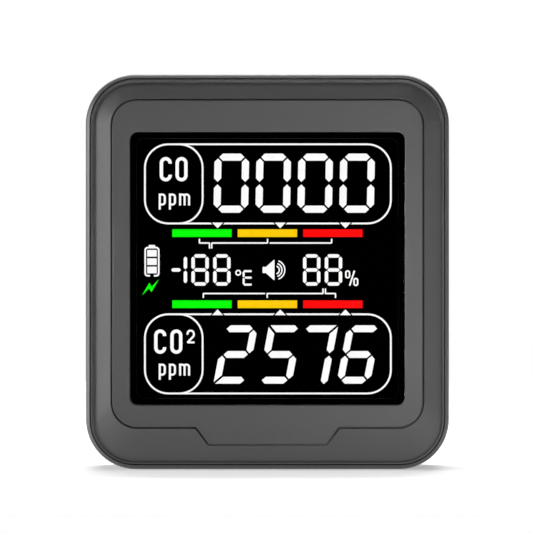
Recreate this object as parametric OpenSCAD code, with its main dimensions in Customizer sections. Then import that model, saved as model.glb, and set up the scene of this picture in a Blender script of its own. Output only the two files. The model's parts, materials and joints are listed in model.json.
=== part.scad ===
// Desk monitor for carbon dioxide and carbon monoxide, modelled as its real assembly.
// X runs to the right of the display, Y runs from the display to the back, Z is up.
// The origin is under the middle of the case, on the surface that it stands on.

/* [Case] */
// Width of the rear shell, the widest piece
case_w = 76; // [75:0.5:80]
// Height of the rear shell
case_h = 82.6; // [82:0.2:86]
// Depth from the face plate to the back
case_d = 30; // [30:0.5:34]
// Corner radius of the rear shell, seen from the front
case_r = 10.4; // [9.8:0.1:10.8]
// Wall thickness of the rear shell
wall = 2; // [1.8:0.1:2.2]
// Radius of the rounded edge at the back
back_round = 3; // [2:0.5:4]

/* [Bezel] */
// Width of the rear shell's rim, seen round the bezel
rim_w = 0.95; // [0.9:0.05:1.1]
// Width of the shadow gap between that rim and the bezel
rim_gap = 0.2; // [0.15:0.01:0.3]
// Width of the bezel's raised lip, which slopes inward to the foot of the border
lip_w = 0.7; // [0.6:0.05:0.9]
// Height of that lip above the foot of the border
lip_h = 0.4; // [0.3:0.05:0.5]
// Depth of the border's foot behind the face plate
slope_drop = 2.2; // [1.8:0.1:2.4]

/* [Face plate] */
// Width of the face plate
plate_w = 64.6; // [63.6:0.2:65]
// Thickness of the face plate
plate_t = 1.6; // [1.5:0.05:1.7]
// Corner radius of the face plate
plate_r = 5.2; // [4.6:0.1:6]
// Distance from the top of the case to the plate
plate_top_margin = 5.6; // [5.2:0.02:6]
// Distance from the bottom of the case to the plate
plate_bottom_margin = 8.94; // [8.6:0.02:9.4]
// Gap round the plate, which reads as a dark line
plate_gap = 0.3; // [0.3:0.05:0.5]
// Width of the plate's tab at its lower edge
tab_w = 24.3; // [20:0.1:28]
// How far the tab reaches below the plate
tab_drop = 3.52; // [2.5:0.02:3.8]

/* [Display window] */
// Width of the window
window_w = 57.4; // [56:0.1:57.6]
// Height of the window
window_h = 57; // [56:0.1:57.6]
// Height of the window's lower edge above the base
window_bottom = 13.45; // [13:0.05:14]
// Corner radius of the window
window_r = 1.7; // [1:0.1:3]

/* [Kickstand] */
// Width of the kickstand leg
leg_w = 34.2; // [30:0.1:36]
// Thickness of the leg
leg_t = 2.6; // [2.4:0.1:2.6]
// Height of the hinge axis above the base
hinge_z = 54; // [50:0.5:55]
// Height of the leg's lower end above the base, when it is folded
leg_low = 5.6; // [5.4:0.1:8]
// Radius of the notch for a fingertip in the leg's lower end
notch_r = 6.5; // [5:0.5:8]
// Radius of the hinge's stub pins
stub_r = 1; // [0.8:0.1:1]

/* [Buttons] */
// Length of a button cap
cap_w = 9.6; // [8:0.2:10]
// Width of a button cap, front to back
cap_d = 4; // [3.6:0.2:4.4]
// Distance between two button caps
cap_pitch = 14; // [12:0.5:16]
// Gap round a button cap
cap_gap = 0.2; // [0.15:0.05:0.3]
// How far the caps stay below the top of the case
cap_sunk = 0.1; // [0:0.05:0.3]

/* [Hidden] */
$fn = 96;

over = 0.5;      // how far a cut runs past the face that it opens
bite = 0.02;     // how far two parts of one solid run into each other
round_steps = 6; // flats that make up a quarter of a rounded edge
hull_fn = 64;    // sides of the circles inside a hull

// Depths, front to back
front = -case_d / 2;
back = case_d / 2;
plate_back = front + plate_t;
ledge_back = plate_back + 1.6;
foot_y = front + slope_drop;
lip_front = foot_y - lip_h;
rim_front = lip_front;
flange_front = front + 4.2;
rebate_back = front + 6.5;
board_front = front + 8.9;
board_back = board_front + 1.6;
joint_y = board_back + 0.5;   // where the bezel's posts meet the shell's bosses
inner_back = back - wall;

// Case outlines: the corners of every layer share these centres
mid_z = case_h / 2;
rim_in_r = case_r - rim_w;
cavity_r = case_r - wall;

// Bezel
bezel_w = case_w - 2 * (rim_w + rim_gap);
bezel_h = case_h - 2 * (rim_w + rim_gap);
bezel_r = case_r - rim_w - rim_gap;
rim_bevel = 0.55;  // bevel on the rim's outer edge
rim_ease = 0.15;   // rounding at both ends of the bevel
side_draft = 0.3;  // how much wider the case is behind the rim than at it
draft_depth = 3;
lip_top = 0.15;    // flat on top of the lip
flange_fit = 0.05;
skirt_t = 1.5;

// Face plate and its pocket
plate_h = case_h - plate_top_margin - plate_bottom_margin;
plate_mid_z = plate_bottom_margin + plate_h / 2;
tab_slope = 0.757;  // sideways run of the tab's sides for each unit of height
tab_gap = plate_gap + 0.12;  // the groove is a little wider round the tab
plate_edge = 0.15;
pocket_lip = 0.12;
plate_proud = 0.15;  // how far the plate stands in front of the bezel

// Window and display stack
window_mid_z = window_bottom + window_h / 2;
window_fit = 0.1;
window_sunk = 0.25;
adhesive_t = 0.1;
sight_w = window_w - 2.8;
sight_h = window_h - 2.7;
lcd_w = 58;
lcd_h = 58;
lcd_ledge = 1.6;     // how far the rear glass reaches below the front glass
foam_t = 0.4;
polariser_t = 0.2;
glass_t = 1.1;
film_t = 0.2;
foam_back = ledge_back + foam_t;
polariser_back = foam_back + polariser_t;
front_glass_back = polariser_back + glass_t;
rear_glass_back = front_glass_back + glass_t;
film_back = rear_glass_back + film_t;
light_guide_t = 2;
backlight_w = 56;
backlight_wall = 1.6;

// Case screws and posts
post_x = 31.3;
post_low_z = 7.2;
post_high_z = case_h - post_low_z;
post_r = 2.8;
screw_r = 1;
screw_seat = back - 4;
screw_head_r = 1.9;
screw_head_t = 1.5;
screw_length = 19;
screw_bore_depth = 7;
recess_half_w = 0.22;  // half the width of the cross in a screw's head
recess_depth = 0.7;
recess_reach = 0.62;   // the cross's reach as a share of the head's radius

thread_fit = 0.02;

// Main board and its screws
board_w = 68.4;
board_low_z = 10.3;
board_high_z = 72.3;
board_post_x = 31.8;
board_post_low_z = 14.5;
board_post_high_z = 68.5;
board_post_r = 2.1;
board_screw_r = 0.8;
board_screw_length = 5.6;
board_screw_head_r = 1.5;
board_screw_head_t = 1.2;
board_bore_depth = 4.5;

// Kickstand pocket
hinge_y = back - 1.8;
leg_gap = 0.3;
pocket_half = leg_w / 2 + leg_gap;
pocket_floor = hinge_y - leg_t / 2 - 0.3;
heel = 2.35;          // how far the leg reaches above its axis, which sets its stop
heel_floor = hinge_y - 2.6;
heel_room = 3;
scoop_floor = back - 4.5;  // deeper than the pocket, so that a fingertip fits behind the leg
stub_length = 1.5;
stub_fit = 0.06;
tub_wall = 1.4;
leg_corner_r = 5;

// Buttons
cap_y = board_back + 1.8;
cap_top = case_h - cap_sunk;
cap_flange_top = case_h - wall - 0.1;
cap_flange_t = 0.8;
cap_flange_side = 1;     // how far the flange reaches past the cap at its ends
cap_flange_edge = 0.6;   // and along its sides
stem_r = 1.2;
switch_top = 75.3;
plunger_top = 76.8;
cap_names = ["power", "mute", "unit"];

// Switches: a body per button, with a bore for its plunger
switch_w = 6;
switch_d = 3.6;
switch_h = 4;
switch_bore = 1.6;
plunger_fit = 0.08;

// Chips on the back of the board: width and height, and where their middles are
gauge = [3.2, 3];
gauge_at = [-31, 35];
controller = [3, 7];
controller_at = [-7, 58.5];
charger = [5, 5];
charger_at = [27.5, 34.5];
chip_t = 1;

// CO2 sensor: a small board on pins, with the optical chamber on it
co2_x = 12;
co2_z = 57.5;
co2_board_w = 33;
co2_board_h = 20;
co2_board_t = 1;
co2_stand = 2;
co2_hole_r = 0.9;
co2_hole_x = 26.5;
co2_hole_inset = 2;
co2_pin_pitch = 2.54;
co2_pin = 0.6;
chamber_w = 24;
chamber_h = 17;
chamber_t = 7.5;
chamber_r = 2.5;
chamber_window_depth = 0.5;
chamber_window_r = 1.8;
chamber_window_pitch = 6;

// Sensors, battery and socket
climate_x = -31.5;
climate_z = 50.5;
climate_w = 3;
climate_t = 1.1;
climate_hole_r = 0.7;
usb_z = 24;
usb_w = 8.94;
usb_h = 3.26;
usb_mid_y = board_back + usb_h / 2;
usb_out_x = case_w / 2 - 0.25;
usb_in_x = usb_out_x - 7.35;
usb_floor = 1.2;
usb_fit = 0.25;
tongue_w = 6.6;
tongue_t = 0.7;
buzzer_x = -28;
buzzer_z = 28;
buzzer_r = 4.5;
buzzer_t = 5.5;
buzzer_port_r = 1;
co_x = -20;
co_z = 58;
cell_body_r = 8;
cell_body_t = 9;
cell_neck_r = 6.8;
cell_top = board_back + 12;
filter_r = 4.5;
filter_t = 0.5;
battery_low_z = 12;
battery_top_z = 44;
battery_w = 44;
battery_t = 8;
tape_t = 1;
lead_y = board_back + 3;
lead_r = 0.55;
lead_bend = 2;
lead_red_x = -16;      // where each lead leaves the battery
lead_black_x = -18.2;
plug_x = -28;
plug_w = 7;
plug_t = 5.5;
plug_h = 7.5;
plug_top_z = 44.5;
plug_half_pitch = 1.2;
vent_h = 1.5;
vent_pitch = 2.8;
vent_low_z = 62.4;
vent_count = 5;
vent_w = 30;
side_vent_low_z = 49;
side_vent_count = 6;
side_vent_front = 1;
side_vent_back = 10;

// ---------------------------------------------------------------- helpers

function arc(cx, cy, r, a0, a1) = [
    for (i = [0 : round_steps])
        let (a = a0 + (a1 - a0) * i / round_steps)
        [cx + r * cos(a), cy + r * sin(a)]
];

// Profile points of a 45 degree bevel between a front face at y and a wall at r, rounded at both ends
function eased_bevel(r, y, bevel, ease) = let (reach = ease * (sqrt(2) - 1)) concat(
    arc(r - bevel - reach, y + ease, ease, -90, -45),
    arc(r - ease, y + bevel + reach, ease, -45, 0)
);

// Rounded rectangle with true corner arcs, centred on the origin
module round_rect(w, h, r) {
    square([w - 2 * r, h], center = true);
    square([w, h - 2 * r], center = true);
    for (sx = [-1, 1], sy = [-1, 1])
        translate([sx * (w / 2 - r), sy * (h / 2 - r)])
            circle(r);
}

// Extrudes a shape drawn in the XZ plane, from y0 back to y1
module slab(y0, y1) {
    translate([0, y1, 0])
        rotate([90, 0, 0])
            linear_extrude(height = y1 - y0)
                children();
}

// Rounded plate in the XZ plane, centred on the height z
module plate(w, h, r, z, y0, y1) {
    translate([0, 0, z])
        slab(y0, y1)
            round_rect(w, h, r);
}

// Cylinder along Y at one place in the XZ plane
module rod_y(x, z, y0, y1, r) {
    translate([x, y1, z])
        rotate([90, 0, 0])
            cylinder(r = r, h = y1 - y0);
}

// Cylinder along X
module rod_x(x0, x1, y, z, r) {
    translate([x0, y, z])
        rotate([0, 90, 0])
            cylinder(r = r, h = x1 - x0);
}

module box(x0, x1, y0, y1, z0, z1) {
    translate([x0, y0, z0])
        cube([x1 - x0, y1 - y0, z1 - z0]);
}

// Solid whose outline is a rounded rectangle and whose edge is a profile.
// The profile's x runs outward from a corner's centre to the wall, and its y is the depth.
module swept(w, h, r, z, y0, y1, profile) {
    a = w / 2 - r;
    b = h / 2 - r;
    translate([0, 0, z]) {
        box(-a, a, y0, y1, -b, b);
        for (s = [0, 1]) {
            mirror([s, 0, 0])
                translate([a, 0, -b])
                    linear_extrude(height = 2 * b)
                        polygon(profile);
            mirror([0, 0, s])
                translate([a, 0, b])
                    rotate([0, -90, 0])
                        linear_extrude(height = 2 * a)
                            polygon(profile);
        }
        for (corner = [[1, -1, 0], [-1, -1, 90], [-1, 1, 180], [1, 1, 270]])
            translate([corner[0] * a, 0, corner[1] * b])
                rotate([0, corner[2], 0])
                    rotate([-90, 0, 0])
                        rotate_extrude(angle = 90)
                            polygon(profile);
    }
}

// Plate with its front edge rounded by e
module eased_plate(w, h, r, z, y0, y1, e) {
    swept(w, h, r, z, y0, y1, concat(
        [[0, y0]],
        arc(r - e, y0 + e, e, -90, 0),
        [[r, y1], [0, y1]]
    ));
}

// Opening whose front edge flares outward by e over a depth of e
module flared_cut(w, h, r, z, y0, y1, e) {
    swept(w, h, r, z, y0 - over, y1, [
        [0, y0 - over], [r + e, y0 - over], [r + e, y0], [r, y0 + e], [r, y1], [0, y1]
    ]);
}

// Stadium-shaped slot, drawn along x
module slot(length, height) {
    square([length - height, height], center = true);
    for (s = [-1, 1])
        translate([s * (length - height) / 2, 0])
            circle(height / 2);
}

module at_case_posts() {
    for (x = [-post_x, post_x], z = [post_low_z, post_high_z])
        translate([x, 0, z])
            children();
}

module at_board_posts() {
    for (x = [-board_post_x, board_post_x], z = [board_post_low_z, board_post_high_z])
        translate([x, 0, z])
            children();
}

// ---------------------------------------------------------------- rear shell

module shell_outside() {
    swept(case_w, case_h, case_r, mid_z, rim_front, back, concat(
        [[0, rim_front]],
        eased_bevel(case_r - side_draft, rim_front, rim_bevel, rim_ease),
        [[case_r, rim_front + draft_depth]],
        arc(case_r - back_round, back - back_round, back_round, 0, 90),
        [[0, back]]
    ));
}

module shell_inside() {
    flare = 0.05;
    swept(case_w, case_h, case_r, mid_z, rim_front - over, inner_back, [
        [0, rim_front - over], [rim_in_r + flare, rim_front - over],
        [rim_in_r + flare, rim_front], [rim_in_r, rim_front + flare],
        [rim_in_r, rebate_back], [cavity_r, rebate_back],
        [cavity_r, inner_back - 1], [cavity_r - 1, inner_back], [0, inner_back]
    ]);
}

module kickstand_tub() {
    half = pocket_half + stub_length + tub_wall;
    box(-half, half, heel_floor - tub_wall, inner_back + bite,
        wall - bite, hinge_z + heel_room + tub_wall);
}

module kickstand_pocket() {
    top = hinge_z + heel_room;
    low = leg_low - leg_gap;
    r = leg_corner_r + leg_gap;
    slab(pocket_floor, back + over) {
        translate([-pocket_half, low + r])
            square([2 * pocket_half, top - low - r]);
        translate([-pocket_half + r, low])
            square([2 * (pocket_half - r), r + over]);
        for (s = [-1, 1])
            translate([s * (pocket_half - r), low + r])
                circle(r);
    }
    box(-pocket_half, pocket_half, heel_floor, pocket_floor + over, hinge_z - heel_room, top);
    slab(scoop_floor, pocket_floor + over)
        difference() {
            translate([0, leg_low])
                circle(notch_r);
            translate([-notch_r, low - notch_r])
                square([2 * notch_r, notch_r]);
        }
    bore_half = leg_w / 2 + stub_length + leg_gap;
    rod_x(-bore_half, bore_half, hinge_y, hinge_z, stub_r + stub_fit);
}

module shell_vents() {
    for (i = [0 : vent_count - 1])
        translate([0, 0, vent_low_z + i * vent_pitch])
            slab(inner_back - over, back + over)
                slot(vent_w, vent_h);
    for (s = [-1, 1], i = [0 : side_vent_count - 1])
        translate([s * (case_w / 2 - wall / 2), (side_vent_front + side_vent_back) / 2,
                   side_vent_low_z + i * vent_pitch])
            rotate([90, 0, 90])
                translate([0, 0, -wall])
                    linear_extrude(height = 2 * wall)
                        slot(side_vent_back - side_vent_front, vent_h);
}

module buzzer_holes() {
    hole_r = 0.6;
    ring_r = 2.4;
    rod_y(buzzer_x, buzzer_z, inner_back - over, back + over, hole_r);
    for (i = [0 : 5])
        rod_y(buzzer_x + ring_r * cos(60 * i), buzzer_z + ring_r * sin(60 * i),
              inner_back - over, back + over, hole_r);
}

module cap_openings() {
    for (i = [-1, 0, 1])
        translate([i * cap_pitch, cap_y, case_h - wall - over])
            linear_extrude(height = wall + 2 * over)
                round_rect(cap_w + 2 * cap_gap, cap_d + 2 * cap_gap, cap_d / 2 + cap_gap - bite);
}

module usb_opening() {
    translate([case_w / 2 - wall - over, usb_mid_y, usb_z])
        rotate([90, 0, 90])
            linear_extrude(height = wall + 2 * over)
                rotate([0, 0, 90])
                    slot(usb_w + 2 * usb_fit, usb_h + 2 * usb_fit);
}

module rear_shell() {
    color([0.36, 0.36, 0.37])
        difference() {
            union() {
                difference() {
                    shell_outside();
                    shell_inside();
                }
                kickstand_tub();
                at_case_posts()
                    rod_y(0, 0, joint_y, inner_back + bite, post_r);
            }
            kickstand_pocket();
            shell_vents();
            buzzer_holes();
            cap_openings();
            usb_opening();
            at_case_posts() {
                rod_y(0, 0, joint_y - over, screw_seat + over, screw_r + 0.15);
                rod_y(0, 0, screw_seat, back + over, screw_head_r + 0.3);
            }
        }
}

// ---------------------------------------------------------------- bezel and face

// Border that rises from its foot to the face plate: wide at the bottom, even elsewhere.
// Both layers reach back to the flange, so that only their front outlines shape the hull.
module sloping_border() {
    flat_w = plate_w + 2 * (plate_gap + pocket_lip);
    flat_h = plate_h + 2 * (plate_gap + pocket_lip);
    hull() {
        plate(flat_w, flat_h, plate_r + plate_gap + pocket_lip, plate_mid_z,
              front + plate_proud, flange_front, $fn = hull_fn);
        plate(bezel_w - 2 * lip_w, bezel_h - 2 * lip_w, bezel_r - lip_w, mid_z,
              foot_y, flange_front, $fn = hull_fn);
    }
}

// Raised lip round the border: its outer edge is eased and its inner side slopes to the foot
module bezel_lip() {
    e = 0.1;
    r0 = bezel_r - lip_top - e;
    difference() {
        eased_plate(bezel_w, bezel_h, bezel_r, mid_z, lip_front, flange_front + bite, e);
        swept(bezel_w, bezel_h, bezel_r, mid_z, lip_front - over, foot_y, [
            [0, lip_front - over], [r0, lip_front - over], [r0, lip_front],
            [bezel_r - lip_w, foot_y], [0, foot_y]
        ]);
    }
}

// Outline of the plate's tab, grown evenly on its free sides
module tab_outline(grow) {
    tab_low = plate_bottom_margin - tab_drop;
    low = tab_low - grow;
    high = plate_bottom_margin + 3;
    side = grow * norm([tab_slope, 1]);
    half_low = tab_w / 2 + (low - tab_low) * tab_slope + side;
    half_high = tab_w / 2 + (high - tab_low) * tab_slope + side;
    polygon([[-half_low, low], [half_low, low], [half_high, high], [-half_high, high]]);
}

module front_bezel() {
    pocket_w = plate_w + 2 * plate_gap;
    pocket_h = plate_h + 2 * plate_gap;
    pocket_r = plate_r + plate_gap;
    flange_grow = 2 * (rim_gap - flange_fit);
    color([0.4, 0.4, 0.41])
        difference() {
            union() {
                difference() {
                    union() {
                        sloping_border();
                        bezel_lip();
                        plate(bezel_w + flange_grow, bezel_h + flange_grow,
                              bezel_r + flange_grow / 2, mid_z, flange_front, rebate_back - 0.1);
                    }
                    plate(bezel_w - 2 * skirt_t, bezel_h - 2 * skirt_t, bezel_r - skirt_t,
                          mid_z, ledge_back, rebate_back + over);
                }
                at_case_posts()
                    rod_y(0, 0, ledge_back - bite, joint_y, post_r);
                at_board_posts()
                    rod_y(0, 0, ledge_back - bite, board_front, board_post_r);
            }
            flared_cut(pocket_w, pocket_h, pocket_r, plate_mid_z,
                      front + plate_proud, plate_back, pocket_lip);
            slab(front - over, plate_back)
                tab_outline(tab_gap);
            plate(sight_w, sight_h, window_r, window_mid_z, front, ledge_back + over);
            at_case_posts()
                rod_y(0, 0, joint_y - screw_bore_depth, joint_y + over, screw_r + thread_fit);
            at_board_posts()
                rod_y(0, 0, board_front - board_bore_depth, board_front + over, board_screw_r + thread_fit);
        }
}

module face_plate() {
    color([0.38, 0.38, 0.39])
        difference() {
            union() {
                eased_plate(plate_w, plate_h, plate_r, plate_mid_z, front, plate_back, plate_edge);
                hull() {
                    slab(front, front + bite)
                        tab_outline(-plate_edge);
                    slab(front + plate_edge, plate_back)
                        tab_outline(0);
                }
            }
            flared_cut(window_w, window_h, window_r, window_mid_z, front, plate_back + over, 0.15);
        }
}

module display_window() {
    color([0.05, 0.05, 0.06])
        eased_plate(window_w - 2 * window_fit, window_h - 2 * window_fit, window_r - window_fit,
                    window_mid_z, front + window_sunk, plate_back - adhesive_t, 0.12);
}

module window_adhesive() {
    color([0.1, 0.1, 0.1])
        difference() {
            plate(window_w - 2 * window_fit, window_h - 2 * window_fit, window_r - window_fit,
                  window_mid_z, plate_back - adhesive_t, plate_back);
            plate(sight_w, sight_h, window_r, window_mid_z, front, back);
        }
}

// ---------------------------------------------------------------- kickstand

module leg_outline() {
    half = leg_w / 2;
    top = hinge_z + heel;
    difference() {
        union() {
            translate([-half, leg_low + leg_corner_r])
                square([leg_w, top - leg_low - leg_corner_r]);
            translate([-half + leg_corner_r, leg_low])
                square([leg_w - 2 * leg_corner_r, leg_corner_r + over]);
            for (s = [-1, 1])
                translate([s * (half - leg_corner_r), leg_low + leg_corner_r])
                    circle(leg_corner_r);
        }
        translate([0, leg_low])
            circle(notch_r);
    }
}

module kickstand() {
    face = hinge_y + leg_t / 2;
    panel_side = 4.5;   // from the leg's side to its panel
    panel_ends = 26;    // the leg's height less the panel's
    panel_up = 6;
    panel_depth = 0.6;
    panel_r = 2.5;
    color([0.34, 0.34, 0.35])
        difference() {
            union() {
                slab(hinge_y - leg_t / 2, face)
                    leg_outline();
                for (s = [0, 1])
                    mirror([s, 0, 0])
                        rod_x(leg_w / 2 - bite, leg_w / 2 + stub_length, hinge_y, hinge_z, stub_r);
            }
            // shallow panel that lightens the leg, seen when it is folded
            translate([0, 0, (hinge_z + leg_low) / 2 + panel_up])
                slab(face - panel_depth, face + over)
                    round_rect(leg_w - 2 * panel_side, hinge_z - leg_low - panel_ends, panel_r);
        }
}

// ---------------------------------------------------------------- buttons

// A cap's face and flange are both rounded rectangles seen from above
module from_above(x) {
    translate([x, cap_y, 0])
        rotate([90, 0, 0])
            children();
}

module cap(x) {
    flange_low = cap_flange_top - cap_flange_t;
    r = cap_d / 2 - bite;
    e = 0.35;
    color([0.3, 0.3, 0.31]) {
        from_above(x)
            swept(cap_w, cap_d, r, 0, flange_low, cap_top, concat(
                [[0, flange_low], [r, flange_low]],
                arc(r - e, cap_top - e, e, 0, 90),
                [[0, cap_top]]
            ));
        translate([x, cap_y, flange_low])
            linear_extrude(height = cap_flange_t)
                round_rect(cap_w + 2 * cap_flange_side, cap_d + 2 * cap_flange_edge, cap_d / 2);
        translate([x, cap_y, plunger_top])
            cylinder(r = stem_r, h = flange_low - plunger_top + bite);
    }
}

module plunger(x) {
    color([0.85, 0.85, 0.82])
        translate([x, cap_y, switch_top - 1])
            cylinder(r = stem_r, h = plunger_top - switch_top + 1);
}

module tact_switches() {
    color([0.15, 0.15, 0.15])
        for (i = [-1, 0, 1])
            difference() {
                box(i * cap_pitch - switch_w / 2, i * cap_pitch + switch_w / 2,
                    board_back, board_back + switch_d, switch_top - switch_h, switch_top);
                translate([i * cap_pitch, cap_y, switch_top - switch_bore])
                    cylinder(r = stem_r + plunger_fit, h = switch_bore + over);
            }
}

// ---------------------------------------------------------------- fasteners and filters

module cross_recess(y, size) {
    for (a = [45, 135])
        rotate([0, a, 0])
            box(-size, size, y - recess_depth, y + over, -recess_half_w, recess_half_w);
}

// Pan-head screw with its head's seat at y, pointing to the front
module screw(y, r, length, head_r, head_t) {
    difference() {
        union() {
            rod_y(0, 0, y - length, y + bite, r);
            rod_y(0, 0, y, y + head_t, head_r);
        }
        cross_recess(y + head_t, head_r * recess_reach);
    }
}

module case_screws() {
    color([0.7, 0.7, 0.72])
        at_case_posts()
            screw(screw_seat, screw_r, screw_length, screw_head_r, screw_head_t);
}

module board_screws() {
    color([0.7, 0.7, 0.72])
        at_board_posts()
            screw(board_back, board_screw_r, board_screw_length, board_screw_head_r, board_screw_head_t);
}

module dust_filters() {
    t = 0.3;
    end = 1.5;        // how far a filter reaches past its slots' ends
    side_end = 1;
    edge = 2;         // and past the middle of its outermost slots
    color([0.1, 0.1, 0.1]) {
        box(-vent_w / 2 - end, vent_w / 2 + end, inner_back - t, inner_back,
            vent_low_z - edge, vent_low_z + (vent_count - 1) * vent_pitch + edge);
        for (s = [0, 1])
            mirror([s, 0, 0])
                box(case_w / 2 - wall - t, case_w / 2 - wall,
                    side_vent_front - side_end, side_vent_back + side_end,
                    side_vent_low_z - edge, side_vent_low_z + (side_vent_count - 1) * vent_pitch + edge);
    }
}

// ---------------------------------------------------------------- display stack

module lcd_foam_gasket() {
    color([0.12, 0.12, 0.12])
        difference() {
            plate(lcd_w, lcd_h, 1, window_mid_z, ledge_back, foam_back);
            plate(sight_w + 0.6, sight_h + 0.6, 1, window_mid_z, front, back);
        }
}

module front_polariser() {
    color([0.03, 0.03, 0.035])
        plate(lcd_w - 1, lcd_h - 1, 0.5, window_mid_z, foam_back, polariser_back);
}

module lcd_front_glass() {
    color([0.1, 0.11, 0.12])
        plate(lcd_w, lcd_h, 0.5, window_mid_z, polariser_back, front_glass_back);
}

module lcd_rear_glass() {
    color([0.1, 0.11, 0.12])
        plate(lcd_w, lcd_h + lcd_ledge, 0.5, window_mid_z - lcd_ledge / 2,
              front_glass_back, rear_glass_back);
}

module diffuser_film() {
    color([0.95, 0.95, 0.95])
        plate(backlight_w, backlight_w, 0.5, window_mid_z, rear_glass_back, film_back);
}

module light_guide() {
    w = backlight_w - 2 * backlight_wall - 0.2;
    led_room = 1.6;
    color([0.85, 0.92, 0.95])
        translate([0, 0, led_room / 2])
            plate(w, w - led_room, 0.5, window_mid_z, film_back, film_back + light_guide_t);
}

module backlight_frame() {
    inner = backlight_w - 2 * backlight_wall;
    color([0.93, 0.93, 0.92])
        difference() {
            plate(backlight_w, backlight_w, 1, window_mid_z, film_back, board_front);
            plate(inner, inner, 0.5, window_mid_z, film_back - over, film_back + light_guide_t);
        }
}

module backlight_leds() {
    led_pitch = 10;
    led_half_w = 1.5;
    led_h = 1.4;
    z0 = window_mid_z - backlight_w / 2 + backlight_wall + 0.1;
    color([0.95, 0.9, 0.6])
        for (i = [-2 : 2])
            box(i * led_pitch - led_half_w, i * led_pitch + led_half_w,
                film_back + 0.4, film_back + light_guide_t, z0, z0 + led_h);
}

module lcd_pins() {
    pin_count = 18;
    pitch = 2.54;
    half = 0.3;
    z = window_mid_z - lcd_h / 2 - lcd_ledge / 2;
    color([0.8, 0.8, 0.8])
        for (i = [0 : pin_count - 1])
            translate([(i - (pin_count - 1) / 2) * pitch, 0, 0])
                box(-half, half, rear_glass_back, board_front, z - half, z + half);
}

// ---------------------------------------------------------------- electronics

module main_board() {
    color([0.05, 0.3, 0.15])
        difference() {
            plate(board_w, board_high_z - board_low_z, 1.5, (board_low_z + board_high_z) / 2,
                  board_front, board_back);
            at_board_posts()
                rod_y(0, 0, board_front - over, board_back + over, board_screw_r + 0.2);
        }
}

// A flat part on the back of the board, centred at x and z
module on_board(x, z, size, t) {
    box(x - size[0] / 2, x + size[0] / 2, board_back, board_back + t, z - size[1] / 2, z + size[1] / 2);
}

// Low parts on the back of the board: the gauge, the controller and the charger
module board_chips() {
    color([0.08, 0.08, 0.08]) {
        on_board(gauge_at[0], gauge_at[1], gauge, chip_t);
        on_board(controller_at[0], controller_at[1], controller, chip_t);
        on_board(charger_at[0], charger_at[1], charger, chip_t);
    }
}

module co2_sensor_board() {
    pin_x = co2_x - co2_board_w / 2 + 1;
    y0 = board_back + co2_stand;
    color([0.05, 0.2, 0.35]) {
        difference() {
            box(co2_x - co2_board_w / 2, co2_x + co2_board_w / 2, y0, y0 + co2_board_t,
                co2_z - co2_board_h / 2, co2_z + co2_board_h / 2);
            for (s = [-1, 1])
                rod_y(co2_hole_x, co2_z + s * (co2_board_h / 2 - co2_hole_inset),
                      y0 - over, y0 + co2_board_t + over, co2_hole_r);
        }
        for (i = [-1.5 : 1.5])
            box(pin_x - co2_pin / 2, pin_x + co2_pin / 2, board_back, y0 + bite,
                co2_z + i * co2_pin_pitch - co2_pin / 2, co2_z + i * co2_pin_pitch + co2_pin / 2);
    }
}

module co2_sensor_chamber() {
    y0 = board_back + co2_stand + co2_board_t;
    y1 = y0 + chamber_t;
    color([0.85, 0.68, 0.3])
        difference() {
            translate([co2_x, 0, co2_z])
                slab(y0, y1)
                    round_rect(chamber_w, chamber_h, chamber_r);
            for (i = [-1 : 1])
                rod_y(co2_x + i * chamber_window_pitch, co2_z, y1 - chamber_window_depth, y1 + over,
                      chamber_window_r);
        }
}

module co_sensor_cell() {
    shoulder = board_back + cell_body_t;
    color([0.88, 0.88, 0.86]) {
        rod_y(co_x, co_z, board_back, shoulder, cell_body_r);
        rod_y(co_x, co_z, shoulder - bite, cell_top, cell_neck_r);
    }
}

module co_sensor_filter() {
    color([0.95, 0.95, 0.95])
        rod_y(co_x, co_z, cell_top, cell_top + filter_t, filter_r);
}

module climate_sensor() {
    color([0.1, 0.1, 0.1])
        difference() {
            on_board(climate_x, climate_z, [climate_w, climate_w], climate_t);
            rod_y(climate_x, climate_z, board_back + climate_t / 2, board_back + climate_t + over,
                  climate_hole_r);
        }
}

module buzzer() {
    color([0.1, 0.1, 0.1])
        difference() {
            rod_y(buzzer_x, buzzer_z, board_back, board_back + buzzer_t, buzzer_r);
            rod_y(buzzer_x, buzzer_z, board_back + buzzer_t - 1, board_back + buzzer_t + over,
                  buzzer_port_r);
        }
}

module battery() {
    color([0.75, 0.76, 0.78])
        translate([0, 0, (battery_top_z + battery_low_z) / 2])
            slab(board_back + tape_t, board_back + tape_t + battery_t)
                round_rect(battery_w, battery_top_z - battery_low_z, 2);
}

module battery_tape() {
    color([0.95, 0.95, 0.9])
        translate([0, 0, (battery_top_z + battery_low_z) / 2])
            slab(board_back, board_back + tape_t)
                round_rect(battery_w - 8, battery_top_z - battery_low_z - 8, 1);
}

module battery_connector() {
    color([0.95, 0.94, 0.9])
        on_board(plug_x, plug_top_z - plug_h / 2, [plug_w, plug_h], plug_t);
}

// A wire that leaves the battery, runs across and comes down into the plug
module lead(x_battery, x_plug, run_z) {
    bend_z = run_z - lead_bend;
    translate([x_battery, lead_y, battery_top_z])
        cylinder(r = lead_r, h = bend_z - battery_top_z);
    translate([x_plug, lead_y, plug_top_z])
        cylinder(r = lead_r, h = bend_z - plug_top_z);
    rod_x(x_plug + lead_bend, x_battery - lead_bend, lead_y, run_z, lead_r);
    for (end = [[x_battery - lead_bend, 0], [x_plug + lead_bend, 90]])
        translate([end[0], lead_y, bend_z])
            rotate([90, 0, 0])
                rotate([0, 0, end[1]])
                    rotate_extrude(angle = 90)
                        translate([lead_bend, 0])
                            circle(lead_r);
}

module battery_lead_red() {
    color([0.8, 0.1, 0.1])
        lead(lead_red_x, plug_x - plug_half_pitch, battery_top_z + 4.6);
}

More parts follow.
